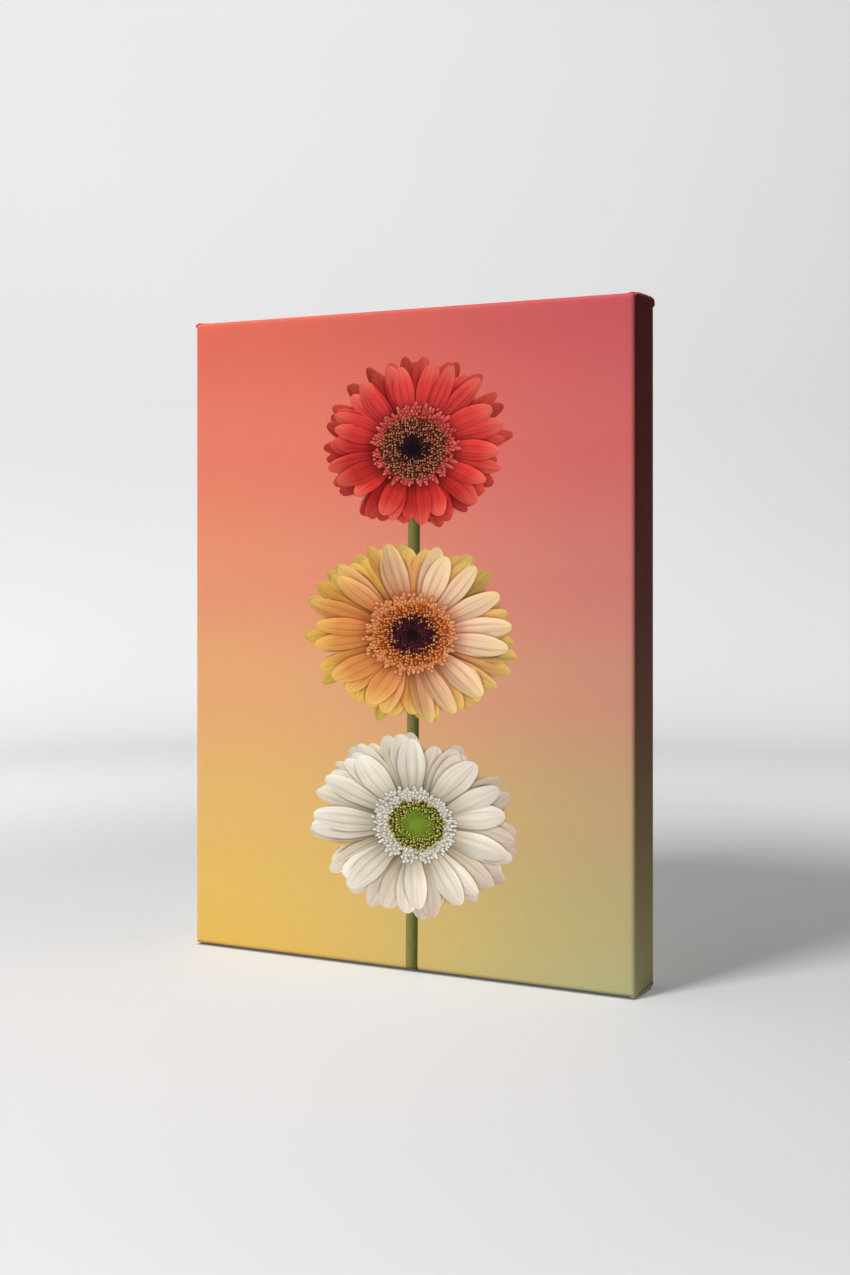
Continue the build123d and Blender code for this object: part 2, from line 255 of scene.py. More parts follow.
def petal_ring_group():
    """One ring of petals in a flower's own plane, where the flower's radius is 1.

    Each petal lies in its own equal sector, and three random numbers turn, shorten and widen it.
    Along runs from 0 at the petal's root to 1 at its tip, and Across from -1 to 1 between its edges.
    Halo is the soft contact shadow round the petals.
    """
    g, given, exit_node = new_group(
        "petal_ring", "X Z Count Turn Root Reach Width Seed Wander", "Mask Along Across Chance Halo")
    x, z, count, first_turn, root, longest, width, seed, wander = given
    radius = length(x, z)
    place = g.math("ARCTAN2", z, x) * count / (2 * math.pi) + first_turn
    number = g.math("FLOOR", place)
    lap = g.vector(g.math("FLOORED_MODULO", number, count), seed)
    picked = g.node("ShaderNodeTexWhiteNoise", {"Vector": lap}, noise_dimensions="2D")
    chance = g.node("ShaderNodeSeparateColor", {"Color": picked.outputs["Color"]})
    turn, short, wide = (g.out(chance, i) for i in range(3))
    offset = place - number - 0.5 + (turn - 0.5) * wander
    angle = offset * (2 * math.pi) / count
    along = radius * g.math("COSINE", angle)
    bend = (wide - 0.5) * 0.16 * along * along
    across = radius * g.math("SINE", angle) + bend - (wide - 0.5) * 0.05
    reach = longest * (1.0 - 0.13 * short)
    u = (along - root) / (reach - root)
    blunt = g.math("SQRT", most(1.0 - g.math("POWER", most(u, 0.0), 4.4), 0.0))
    swell = 0.44 + 0.56 * smooth(u, -0.05, 0.66)
    half = width * (0.84 + 0.3 * wide) * swell * blunt
    away = abs(across) - half
    past = most(along - reach, 0.0)
    inside = g.math("GREATER_THAN", u, 0.0)
    mask = smooth(away, 0.004, -0.007) * inside * g.math("LESS_THAN", u, 0.995)
    halo = smooth(most(away, 0.0) + past, 0.034, 0.0) * inside
    for socket, value in zip(exit_node.inputs, (mask, u, across / most(half, 0.004), short, halo)):
        g.feed(socket, value)
    return g.tree


def petal_colour_group():
    """The colour of one petal: deep at its root, paler towards its tip, ribbed and veined lengthways."""
    g, given, exit_node = new_group(
        "petal_colour", "Along Across Chance Light Contrast *Root *Middle *Tip", "*Color")
    along, across, chance, side_light, contrast, root, middle, tip = given
    side = least(abs(across), 1.0)
    signed = most(least(across, 1.0), -1.0)
    colour = g.mix(smooth(along, 0.02, 0.62), root, middle)
    colour = g.mix(smooth(along, 0.62, 1.0), colour, tip)
    rib = smooth(abs(side - 0.36), 0.16, 0.0) * smooth(along, 1.0, 0.55)
    edge = smooth(side, 0.78, 0.95)
    streak = noise(signed, along * 0.22, chance * 37.0, 3.4, 3.0, 0.65)
    under = smooth(signed, 0.1, -1.0) * smooth(along, 0.85, 0.15)
    light = 0.28 * signed * side_light - 0.24 * rib + 0.08 * edge - 0.22 * under
    light = light + (streak - 0.5) * 0.85 + (chance - 0.5) * 0.30
    g.feed(exit_node.inputs["Color"], g.scaled(colour, 1.0 + light * contrast))
    return g.tree


PETAL_RING = petal_ring_group()
PETAL_COLOUR = petal_colour_group()

# centre x and height above the sheet's lower edge, half width and half height, in metres, and how far the
# petals' outline leans from the disc's centre, in the flower's own radius
FLOWERS = [
    (0.0086, 0.3210, 0.0660, 0.0548, 0.027, 0.075),
    (0.0081, 0.2060, 0.0762, 0.0578, -0.044, 0.030),
    (0.0109, 0.0893, 0.0738, 0.0580, -0.060, -0.010),
]
# The sheet's rows of faces where one flower's part of the print ends and the next one's begins
PRINT_ROWS = (84, 46)

# Rings of petals from the lowest to the topmost: count, turn, root, reach, half width, seed, wander, tone
PETAL_RINGS = [
    (16, 0.15, 0.25, 1.000, 0.108, 3.1, 0.55, "back"),
    (15, 0.65, 0.25, 1.005, 0.112, 5.7, 0.55, "back"),
    (14, 0.30, 0.25, 1.000, 0.114, 8.3, 0.50, "middle"),
    (13, 0.80, 0.25, 0.995, 0.116, 1.9, 0.50, "middle"),
    (12, 0.05, 0.25, 0.985, 0.116, 6.4, 0.56, "front"),
    (10, 0.55, 0.25, 0.965, 0.118, 2.2, 0.70, "front"),
]
# Short petals round the disc: count, turn, root, reach, half width, seed, wander
FLORET_RINGS = [
    (29, 0.2, 0.22, 0.510, 0.028, 4.4, 0.7),
    (31, 0.6, 0.22, 0.455, 0.028, 9.1, 0.7),
]


def chooser(flower):
    """Picks one flower's own number or colour: 0 is the red one, 1 the peach one and 2 the white one."""
    def choose(*values):
        value = values[flower]
        return linear(*value) if isinstance(value, tuple) else value
    return choose


def gradient(g, x, height):
    """The background: coral at the top, peach, then yellow at the bottom, cooler and darker to the right."""
    across = smooth(x, -0.90 * X_OUT, 1.14 * X_OUT)
    up = height / (2 * Z_OUT)
    left = g.node("ShaderNodeValToRGB")
    right = g.node("ShaderNodeValToRGB")
    stops_left = [
        (0.00, (225, 184, 92)), (0.12, (231, 190, 103)), (0.24, (236, 189, 114)), (0.42, (242, 178, 124)),
        (0.60, (243, 156, 121)), (0.78, (242, 134, 109)), (1.00, (231, 113, 92))]
    stops_right = [
        (0.00, (180, 176, 128)), (0.10, (188, 175, 124)), (0.26, (202, 172, 126)), (0.44, (218, 153, 129)),
        (0.60, (224, 133, 123)), (0.80, (224, 111, 109)), (1.00, (211, 94, 100))]
    for ramp, stops in ((left, stops_left), (right, stops_right)):
        ramp.color_ramp.interpolation = "EASE"
        for place, colour in stops[1:-1]:
            ramp.color_ramp.elements.new(place)
        for element, (place, colour) in zip(ramp.color_ramp.elements, stops):
            element.position, element.color = place, linear(*colour)
        g.feed(ramp.inputs["Fac"], up)
    mottle = noise(x, height, 0.0, 9.0, 2.0) - 0.5
    return g.mix(across + mottle * 0.08, g.out(left), g.out(right))


def bead_layer(g, x, z, radius, fineness):
    """Packed round florets, finer towards the middle: each one's dot, its tint and how far out it sits."""
    crowding = 0.22
    squeeze = g.math("POWER", most(radius, 0.01), -crowding) * fineness
    place = g.vector(x * squeeze, z * squeeze)
    cells = g.node("ShaderNodeTexVoronoi", {"Vector": place, "Scale": 1.0, "Randomness": 0.80},
                   voronoi_dimensions="2D")
    tint = g.out(g.node("ShaderNodeSeparateColor", {"Color": cells.outputs["Color"]}), 0)
    seat_x, seat_z, _ = g.split(cells.outputs["Position"])
    seat = length(seat_x, seat_z) / fineness
    seat = g.math("POWER", seat, 1.0 / (1.0 - crowding))
    return g.out(cells, "Distance"), tint, seat


def stem(g, x, height, colour):
    """The straight stem, which leans a little to the right and ends behind the topmost flower."""
    foot_x, lean, half_width = 0.0076, 0.006, 0.0043
    offset = (x - foot_x - lean * height) / half_width
    mask = smooth(abs(offset), 1.03, 0.90) * g.math("LESS_THAN", height, FLOWERS[0][1])
    hairs = noise(x * 900, height * 160, 0.0, 1.0, 2.0, 0.6)
    shade = smooth(offset + (hairs - 0.5) * 0.6, -0.9, 0.95)
    return g.mix(mask, colour, g.mix(shade, linear(136, 130, 74), linear(70, 72, 34)))


def petal_paint(g, ring, light, contrast, tones):
    root, middle, tip = tones
    return use_group(g, PETAL_COLOUR, Along=ring["Along"], Across=ring["Across"], Chance=ring["Chance"],
                     Light=light, Contrast=contrast, Root=root, Middle=middle, Tip=tip)["Color"]


def petals(g, choose, colour, px, pz, radius, seed, light):
    """Six rings of petals. Each flower's colours differ between its far side and its lit side.

    Each row of tones has the three flowers' colours at the petals' root, middle or tip.
    """
    lit = px * choose(0.25, 0.92, 0.70) + pz * choose(0.85, 0.30, -0.40)
    lit = smooth(lit / most(radius, 0.1), -0.85, 0.85)
    tones = {
        "back": [((84, 8, 12), (128, 80, 26), (124, 112, 86)),
                 ((156, 28, 30), (204, 152, 64), (204, 191, 166)),
                 ((186, 58, 52), (220, 182, 88), (230, 219, 198))],
        "middle": [((88, 8, 12), (180, 84, 34), (140, 126, 98)),
                   ((176, 34, 34), (214, 140, 66), (220, 207, 182)),
                   ((206, 70, 60), (228, 182, 88), (240, 230, 210))],
        "front": [((116, 12, 18), (198, 92, 48), (172, 160, 132)),
                  ((210, 52, 46), (226, 146, 78), (236, 226, 207)),
                  ((232, 96, 78), (238, 184, 98), (250, 243, 228))],
    }
    lit_tones = {
        "back": [((84, 10, 14), (132, 84, 38), (120, 102, 82)),
                 ((160, 38, 36), (200, 152, 78), (196, 178, 156)),
                 ((184, 66, 54), (216, 176, 100), (208, 186, 168))],
        "middle": [((108, 10, 18), (200, 98, 58), (148, 132, 104)),
                   ((196, 46, 48), (234, 168, 104), (220, 204, 182)),
                   ((214, 80, 68), (232, 192, 108), (214, 192, 176))],
        "front": [((148, 20, 30), (226, 128, 90), (178, 164, 136)),
                  ((224, 66, 62), (253, 212, 174), (240, 229, 211)),
                  ((232, 104, 88), (252, 220, 162), (232, 214, 200))],
    }
    fewer, wider = choose(0, 0, 2), choose(1.0, 1.0, 1.13)
    for count, turn, root, reach, width, ring_seed, wander, tone in PETAL_RINGS:
        ring = use_group(g, PETAL_RING, X=px, Z=pz, Count=float(count - fewer), Turn=turn, Root=root,
                         Reach=reach, Width=width * wider, Seed=seed + ring_seed, Wander=wander)
        parts = [g.mix(lit, choose(*far), choose(*near)) for far, near in zip(tones[tone], lit_tones[tone])]
        paint = petal_paint(g, ring, light, choose(1.0, 0.9, 0.72), parts)
        shadow = ring["Halo"] * smooth(radius, 0.90, 0.76) * 0.40
        colour = g.mix(ring["Mask"], g.scaled(colour, 1.0 - shadow), paint)
    return colour


def florets(g, choose, colour, px, pz, radius, seed, light, disc_edge):
    """Short petals and round beads between the petals and the disc."""
    colour = g.scaled(colour, 1.0 - 0.34 * smooth(radius / disc_edge, 1.60, 1.10))
    tones = [choose((128, 22, 26), (196, 96, 48), (168, 160, 136)),
             choose((214, 70, 66), (232, 150, 90), (228, 223, 210)),
             choose((234, 112, 96), (244, 176, 122), (244, 241, 232))]
    shrink = choose(1.0, 0.90, 0.84)
    for count, turn, root, reach, width, ring_seed, wander in FLORET_RINGS:
        ring = use_group(g, PETAL_RING, X=px / shrink, Z=pz / shrink, Count=float(count), Turn=turn,
                         Root=root, Reach=reach, Width=width, Seed=seed + ring_seed, Wander=wander)
        colour = g.scaled(colour, 1.0 - ring["Halo"] * smooth(radius, 0.56, 0.48) * 0.30)
        colour = g.mix(ring["Mask"], colour, petal_paint(g, ring, light, 1.0, tones))
    bead_layers = ((20.0, choose(1.20, 1.22, 1.46)), (23.0, choose(1.12, 1.12, 1.30)))
    for fineness, reach in bead_layers:
        distance, tint, seat = bead_layer(g, px, pz, radius, fineness)
        chosen = g.math("LESS_THAN", seat / disc_edge, reach + (tint - 0.5) * 0.24)
        colour = g.scaled(colour, 1.0 - 0.30 * chosen * smooth(distance, 0.66, 0.50))
        tone = g.mix(smooth(distance, 0.50, 0.05), tones[0], g.mix(tint, tones[1], tones[2]))
        colour = g.mix(chosen * smooth(distance, 0.52, 0.44), colour, tone)
    return colour


def flower_disc(g, choose, colour, dx, dz, radius, disc_edge):
    """Fine round florets that end in a dark or green core."""
    distance, tint, _ = bead_layer(g, dx, dz, radius, fineness=31.0)
    dot = smooth(distance, 0.52, 0.06)
    core_edge = choose(0.125, 0.17, 0.120)
    bright = smooth(radius + (tint - 0.5) * 0.11, core_edge - 0.01, core_edge + 0.07)
    out = radius / disc_edge
    ground = choose((72, 20, 18), (142, 58, 28), (54, 50, 14))
    inner_ground = choose((58, 14, 16), (66, 20, 26), (48, 44, 14))
    ground = g.mix(smooth(out, 0.55, 0.80), inner_ground, ground)
    bead_low = choose((140, 66, 44), (216, 116, 52), (168, 162, 56))
    bead_high = choose((214, 150, 104), (250, 182, 98), (230, 216, 130))
    bead = g.mix(smooth(tint, 0.10, 0.95), bead_low, bead_high)
    disc = g.mix(dot, ground, bead)
    core = choose((22, 8, 12), (44, 12, 22), (98, 122, 30))
    core_bead = choose((62, 24, 26), (112, 50, 50), (146, 164, 60))
    disc = g.mix(bright, g.mix(dot * tint, core, core_bead), disc)
    centre = choose((8, 5, 8), (26, 8, 16), (120, 142, 46))
    disc = g.mix(smooth(radius, 0.10, 0.03), disc, centre)
    edge = smooth(radius + (tint - 0.5) * 0.03 - dot * 0.015, disc_edge + 0.006, disc_edge - 0.010)
    return g.mix(edge, colour, disc)


def printed_picture(g, x, height, flower):
    """The picture's colour at a place on the sheet, in one flower's part of it."""
    choose = chooser(flower)
    centre_x, centre_z, half_x, half_z, lean_x, lean_z = FLOWERS[flower]
    seed = choose(0.0, 13.0, 29.0)
    dx = (x - centre_x) / half_x
    dz = (height - centre_z) / half_z
    radius = length(dx, dz)
    px, pz = dx - radius * lean_x, dz - radius * lean_z
    # light falls from the upper right, across each petal's length
    light = (px * 0.75 - pz * 0.45) / most(radius, 0.1)
    disc_edge = choose(0.350, 0.335, 0.262)
    colour = stem(g, x, height, gradient(g, x, height))
    colour = petals(g, choose, colour, px, pz, radius, seed, light)
    colour = florets(g, choose, colour, px, pz, radius, seed, light, disc_edge)
    return flower_disc(g, choose, colour, dx, dz, radius, disc_edge)


def weave_of(g, u, v):
    """Height of the plain weave's over-and-under threads, with slubs."""
    pitch = 0.00056
    slub = noise(u, v, 0.0, 260.0, 2.0, 0.6) - 0.5
    weft = g.math("SINE", (u / pitch) * math.pi + slub * 0.9)
    warp = g.math("SINE", (v / pitch) * math.pi - slub * 0.9)
    weave = abs(weft) * 0.5 + abs(warp) * 0.5 + weft * warp * 0.45
    return weave * 0.7 + slub * 0.8


CLOTH_SHINE = 0.04  # the shaders' specular level on cloth and yarn
PRINT_ON_BACK = 0.0078  # how far the print runs on over the back
MIRROR_STRETCH = 0.6  # the picture's place past the face's edges, where it's mirrored, per length of cloth


def print_material(name, flower):
    """The primed side with its print, which is mirrored past the face's edges and ends on the back."""
    material, g, shader = new_material(name, CLOTH_SHINE)
    u, v = g.cloth_place()
    thread = weave_of(g, u, v)

    def mirrored(place, half):
        edge = abs(place)
        return least(edge, half * (1 + MIRROR_STRETCH) - edge * MIRROR_STRETCH) * g.math("SIGN", place)

    picture = printed_picture(g, mirrored(u, X_OUT), mirrored(v, Z_OUT) + Z_OUT, flower)
    # the print is a little darker where the weave dips and paler where it rises: painted shade between the
    # threads, together with the yarn's own uneven tone along its slubs
    picture = g.scaled(picture, 0.97 + thread * 0.06)
    beyond = most(abs(u) - X_OUT, abs(v) - Z_OUT)
    ragged = noise(u, v, 0.0, 180.0, 3.0, 0.6) - 0.5
    unprinted = smooth(beyond + ragged * 0.0012, DEPTH + PRINT_ON_BACK, DEPTH + PRINT_ON_BACK + 0.0007)
    # the bare primer is paler on the threads' tops and darker in the dips between them: painted shade,
    # together with the yarn's own uneven tone along its slubs
    primed = g.mix(0.5 + thread * 0.35, linear(214, 211, 203), linear(236, 234, 228))
    coat(g, shader, g.mix(unprinted, picture, primed), 0.64 - thread * 0.06, thread, 0.00010, 0.55)
    return material


def raw_canvas_material():
    """The cloth's bare reverse and its cut edge: unbleached threads with dark flecks of husk."""
    material, g, shader = new_material("raw_canvas", CLOTH_SHINE)
    u, v = g.cloth_place()
    thread = weave_of(g, u, v)
    fleck = smooth(noise(u, v, 2.0, 700.0, 2.0, 0.6), 0.66, 0.74)
    # the raw threads are paler on their tops and darker in the dips between them: painted shade, together
    # with the yarn's own uneven tone along its slubs
    raw = g.mix(0.5 + thread * 0.6, linear(196, 188, 168), linear(226, 220, 204))
    colour = g.mix(fleck * 0.6, raw, linear(132, 108, 76))
    coat(g, shader, colour, 0.90 - thread * 0.06, thread, 0.00012, 0.7)
    return material


def thread_material():
    """Unbleached cotton yarn with a faint twist."""
    material, g, shader = new_material("cotton_yarn", CLOTH_SHINE)
    x, y, z = g.object_place()
    twist = noise(x, y, z, 2200.0, 2.0, 0.6)
    coat(g, shader, g.mix(twist, linear(206, 196, 172), linear(240, 234, 218)), 0.85 + twist * 0.1)
    return material


# ---- The cloth: one thin closed sheet wrapped over the bars, with a folded pleat at each corner ----

PLEAT_SLANT = 0.80  # how far the pleat's fold leans inwards, per length of edge
STAPLE_INSET = 0.034  # the bars' ends to their first staples
SLACK = 0.00016  # how far the front sinks over the window
WAVE = 0.00042  # height of the flaps' waves
ACROSS, UP, ROUND = 96, 128, 6  # spans along a level edge, an upright edge and a corner
FRONT_X, FRONT_Z = X_OUT - FRONT_ROUND, Z_OUT - FRONT_ROUND


def staple_places(count, half_length):
    reach = half_length - STAPLE_INSET
    return [-reach + 2 * reach * i / (count - 1) for i in range(count)]


LEVEL_STAPLES = staple_places(6, X_OUT - CLOTH)
UPRIGHT_STAPLES = staple_places(9, Z_OUT - CLOTH)


def rim(half_x, half_z, radius):
    """A rounded rectangle as (x, z, side, place along the side, place on the unfolded corner's fan).

    Sides 0 to 3 are the bottom, right, top and left. A corner's points have no place along a side.
    """
    radius = max(radius, 0.0)
    cx, cz = half_x - radius, half_z - radius
    points = []
    for side in range(4):
        spans, half = (UP, cz) if side % 2 else (ACROSS, cx)
        sign = -1 if side > 1 else 1
        fan = QUARTER * (side - 1)
        for i in range(spans + 1):
            along = sign * (-half + 2 * half * i / spans)
            x, z = (sign * half_x, along) if side % 2 else (along, -sign * half_z)
            points.append((x, z, side, sign * (-1 + 2 * i / spans), fan))
        turn_x, turn_z = sign * cx, (sign if side % 2 else -sign) * cz
        for i in range(1, ROUND):
            a = fan + QUARTER * i / ROUND
            points.append((turn_x + radius * math.cos(a), turn_z + radius * math.sin(a), side, None, a))
    return points


def rim_path():
    """The sheet's section from the front to the cut edge on the back, as (inset, y, length run)."""
    path = []
    for i in range(1, 7):
        a = QUARTER * i / 6
        inset, y = FRONT_ROUND * (1 - math.sin(a)), Y_FRONT + FRONT_ROUND * (1 - math.cos(a))
        path.append((inset, y, FRONT_ROUND * a))
    run = path[-1][2]
    side = DEPTH - FRONT_ROUND - BACK_ROUND
    for i in range(1, 13):
        path.append((0.0, Y_FRONT + FRONT_ROUND + side * i / 12, run + side * i / 12))
    run = path[-1][2]
    for i in range(1, 5):
        a = QUARTER * i / 4
        inset, y = BACK_ROUND * (1 - math.cos(a)), Y_BACK - BACK_ROUND * (1 - math.sin(a))
        path.append((inset, y, run + BACK_ROUND * a))
    run = path[-1][2]
    for i in range(1, 13):
        reach = (FLAP - BACK_ROUND) * i / 12
        path.append((BACK_ROUND + reach, Y_BACK, run + reach))
    return path


def cut_wander(side, place):
    """How far the hand-cut edge strays from a straight line."""
    t = place * (3.1 if side % 2 else 2.3) + side * 1.7
    return 0.0008 * math.sin(2.1 * t) + 0.0004 * math.sin(6.3 * t + side) + 0.00015 * math.sin(31 * t)


def pucker(side, place, inset):
    """Height of the cloth above the bar's back between two staples, where it is pulled into low waves."""
    staples = UPRIGHT_STAPLES if side % 2 else LEVEL_STAPLES
    half = Z_OUT if side % 2 else X_OUT
    at = place * half
    near = min(abs(at - s) for s in staples)
    wave = smooth_step(near, 0.004, 0.017)
    edge = smooth_step(inset, 0.003, 0.016)
    return WAVE * wave * edge * (0.75 + 0.25 * math.sin(at * 190 + side))


RAW_SHIFT = 2.0  # added to the reverse's u, which keeps it apart from the front's
RAW_SLOT = 3  # the raw reverse's material slot, after the three parts of the print


def sheet_mesh():
    verts, faces, uv_cloth, uv_bake, skins_of = [], [], [], [], []
    row_tops = [FRONT_Z * (2 * row / UP - 1) for row in PRINT_ROWS]

    def add_face(indices, cloth, bake):
        """Adds a face with the material of its part of the print, or with the raw reverse's."""
        middle = sum(v for _, v in cloth) / len(cloth)
        part = sum(middle < top for top in row_tops)
        faces.append(indices)
        skins_of.append(RAW_SLOT if cloth[0][0] > RAW_SHIFT / 2 else part)
        uv_cloth.extend(cloth)
        uv_bake.extend(bake)

    # the bake's square: the front, the reverse, the four sides and the hidden skin, each in its own rectangle
    def front_bake(x, z):
        return (0.004 + (x / X_OUT + 1) / 2 * 0.730, 0.006 + (z / Z_OUT + 1) / 2 * 0.975)

    def inner_bake(x, z):
        return (0.815 + (x / X_OUT + 1) / 2 * 0.175, 0.250 + (z / Z_OUT + 1) / 2 * 0.235)

    def edge_bake(place, run, left, low, width, height):
        return (left + min(run / 0.060, 1.0) * width, low + (place + 1.03) / 2.06 * height)

    side_bakes = {0: (0.740, 0.130, 0.068, 0.365), 1: (0.745, 0.505, 0.068, 0.485),
                  2: (0.895, 0.505, 0.068, 0.365), 3: (0.820, 0.505, 0.068, 0.485)}
    hidden_bake = (0.820, 0.135, 0.165, 0.100)

    def grid(y):
        """The front or its reverse, as rows of points."""
        rows = []
        for j in range(UP + 1):
            row = []
            for i in range(ACROSS + 1):
                x, z = FRONT_X * (2 * i / ACROSS - 1), FRONT_Z * (2 * j / UP - 1)
                row.append(len(verts))
                verts.append((x, y + SLACK * slack(x, z), z))
            rows.append(row)
        return rows

    def slack(x, z):
        """The cloth rests on the bars' beads and is a hair further back over the window."""
        inside_x = smooth_step(X_OUT - 0.008 - abs(x), 0.0, 0.014)
        inside_z = smooth_step(Z_OUT - 0.008 - abs(z), 0.0, 0.014)
        wave = math.sin(x * 23 + z * 9) * math.sin(z * 17 - x * 5)
        return inside_x * inside_z * (1.0 + 0.45 * wave)

    def loop_of(rows):
        loop = [rows[0][i] for i in range(ACROSS + 1)] + [rows[0][-1]] * (ROUND - 1)
        loop += [rows[j][-1] for j in range(UP + 1)] + [rows[-1][-1]] * (ROUND - 1)
        loop += [rows[-1][ACROSS - i] for i in range(ACROSS + 1)] + [rows[-1][0]] * (ROUND - 1)
        loop += [rows[UP - j][0] for j in range(UP + 1)] + [rows[0][0]] * (ROUND - 1)
        return loop

    outer_front = grid(Y_FRONT)
    inner_front = grid(Y_FRONT + CLOTH)
    for j in range(UP):
        for i in range(ACROSS):
            for rows, shift, bake, order in (
                    (outer_front, 0.0, front_bake, 1), (inner_front, RAW_SHIFT, inner_bake, -1)):
                quad = [rows[j][i], rows[j][i + 1], rows[j + 1][i + 1], rows[j + 1][i]][::order]
                places = [(verts[k][0], verts[k][2]) for k in quad]
                add_face(quad, [(x + shift, z) for x, z in places], [bake(x, z) for x, z in places])

    # round the edges, along the sides and over the back: the outer skin out, then the inner skin back
    skins = []
    hair = 0.00001
    thick = CLOTH - 4 * hair
    for skin in ("outer", "inner"):
        loops = []
        for inset, y, run in rim_path():
            on_back = y > Y_BACK - hair
            if skin == "inner":
                if run < FRONT_ROUND * QUARTER + hair:
                    inset += thick * math.sin(run / FRONT_ROUND)
                    y += thick * math.cos(run / FRONT_ROUND)
                elif on_back:
                    inset = max(inset, BACK_ROUND * 0.9)
                    y -= thick
                elif y > Y_BACK - BACK_ROUND:
                    inset += thick * 0.7
                    y -= thick * 0.7
                else:
                    inset = thick
            loop = []
            for x, z, side, place, _ in rim(X_OUT - inset, Z_OUT - inset, CORNER_ROUND - inset * 0.6):
                rise = pucker(side, 1.0 if place is None else place, inset) if on_back else 0.0
                if on_back and place is not None:
                    stray = cut_wander(side, place) * smooth_step(inset, 0.014, FLAP)
                    if side % 2:
                        x -= math.copysign(stray, x)
                    else:
                        z -= math.copysign(stray, z)
                loop.append(len(verts))
                verts.append((x, y + rise, z))
            loops.append((loop, run))
        skins.append(loops)

    outer_loops = [(loop_of(outer_front), 0.0)] + skins[0]
    inner_loops = [(loop_of(inner_front), 0.0)] + skins[1]
    facts = rim(X_OUT, Z_OUT, CORNER_ROUND)

    def unfolded(k, run):
        x, z, side, place, fan = facts[k]
        cx = math.copysign(FRONT_X, x) if place is None or side % 2 else FRONT_X * place
        cz = math.copysign(FRONT_Z, z) if place is None or not side % 2 else FRONT_Z * place
        return (cx + run * math.cos(fan), cz + run * math.sin(fan))

    def stitch(first, second, inner):
        """Joins two loops with faces, of the inner skin or of the outer one."""
        (loop_a, run_a), (loop_b, run_b) = first, second
        count = len(loop_a)
        for k in range(count):
            n = (k + 1) % count
            ring = [(loop_a[k], k, run_a), (loop_a[n], n, run_a),
                    (loop_b[n], n, run_b), (loop_b[k], k, run_b)]
            unique = []
            for entry in ring:
                if entry[0] not in [e[0] for e in unique]:
                    unique.append(entry)
            if len(unique) < 3:
                continue
            if not inner:
                unique = unique[::-1]
            side = facts[k][2]
            along = {k: facts[k][3], n: facts[n][3]}
            for key in along:
                if along[key] is None:
                    along[key] = math.copysign(1.02, facts[k][3] or (1 if side in (0, 1) else -1))
                elif key == n and facts[n][2] != side:
                    along[key] = math.copysign(1.03, 1 if side in (0, 1) else -1)
            cloth = [unfolded(e[1], e[2]) for e in unique]
            if inner:
                cloth = [(a + RAW_SHIFT, b) for a, b in cloth]
            patch = hidden_bake if inner else side_bakes[side]
            add_face([e[0] for e in unique], cloth, [edge_bake(along[e[1]], e[2], *patch) for e in unique])

    for a, b in zip(outer_loops, outer_loops[1:]):
        stitch(a, b, inner=False)
    for a, b in zip(inner_loops, inner_loops[1:]):
        stitch(a, b, inner=True)
    # the cut edge joins the two skins and shows raw thread
    last_outer, last_inner = outer_loops[-1], inner_loops[-1]
    stitch((last_inner[0], last_inner[1]), (last_outer[0], last_outer[1] + CLOTH), inner=True)

    for side in (-1, 1):
        for end in (-1, 1):
            add_pleat(verts, add_face, side, end)

    mesh = smooth_mesh("canvas_cloth", [(x, y, z + Z_MID) for x, y, z in verts], faces)
    for name, values in (("cloth", uv_cloth), ("OFBake", uv_bake)):
        layer = mesh.uv_layers.new(name=name)
        for entry, value in zip(layer.data, values):
            entry.uv = value
    mesh.polygons.foreach_set("material_index", skins_of)
    mesh.validate()
    mesh.set_sharp_from_angle(angle=math.radians(58))
    return mesh


def quarter_round(x, radius):
    """How far a rounded edge has risen at x from its rim: 0 there and 1 past its radius."""
    return math.sqrt(max(1 - (1 - min(max(x, 0.0) / radius, 1.0)) ** 2, 0.0))


